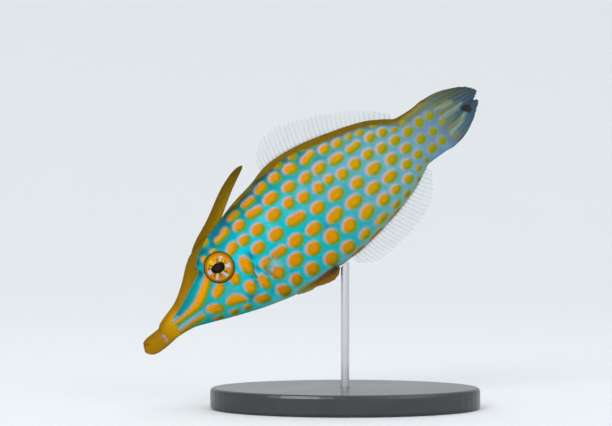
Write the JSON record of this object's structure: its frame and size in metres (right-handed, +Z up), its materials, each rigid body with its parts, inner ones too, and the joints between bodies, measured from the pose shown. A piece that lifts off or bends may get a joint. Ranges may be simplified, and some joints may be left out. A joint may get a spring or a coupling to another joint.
{
  "type": "harlequin filefish",
  "caption": "Life-size still model of a harlequin filefish, nose down on a plain display stand, with ridged fins, a raised dorsal spine and a small upturned mouth.",
  "frame": {"origin": "middle of the flat underside of the stand's oval base, straight below the rod", "axes": "+Z up; the fish's left side faces -Y; its snout points to -X and down, its tail to +X and up, 37.4 degrees from the level"},
  "size_m": [0.0799, 0.038, 0.0762],
  "materials": {
    "snout_skin": "satin fish skin, orange",
    "spotted_skin": "satin fish skin, blue-green with rows of orange spots",
    "tail_fin": "satin, pale blue-grey with fine rays and a dark blotch",
    "clear_fin": "thin clear membrane with pale rays",
    "spine": "satin, ochre",
    "belly_flap": "satin, orange-brown with a pale edge",
    "eye": "glossy, orange iris round a dark pupil",
    "stand_base": "satin black",
    "stand_rod": "brushed"
  },
  "bodies": {
    "root": {"jaws": "snout_skin", "snout": "snout_skin", "head": "spotted_skin", "trunk": "spotted_skin", "tail_stalk": "spotted_skin", "tail_fin": "tail_fin", "dorsal_fin": "clear_fin", "anal_fin": "clear_fin", "pectoral_fin_left": "clear_fin", "pectoral_fin_right": "clear_fin", "dorsal_spine": "spine", "belly_flap": "belly_flap", "eye_left": "eye", "eye_right": "eye", "stand_base": "stand_base", "stand_rod": "stand_rod"}
  },
  "joints": []
}
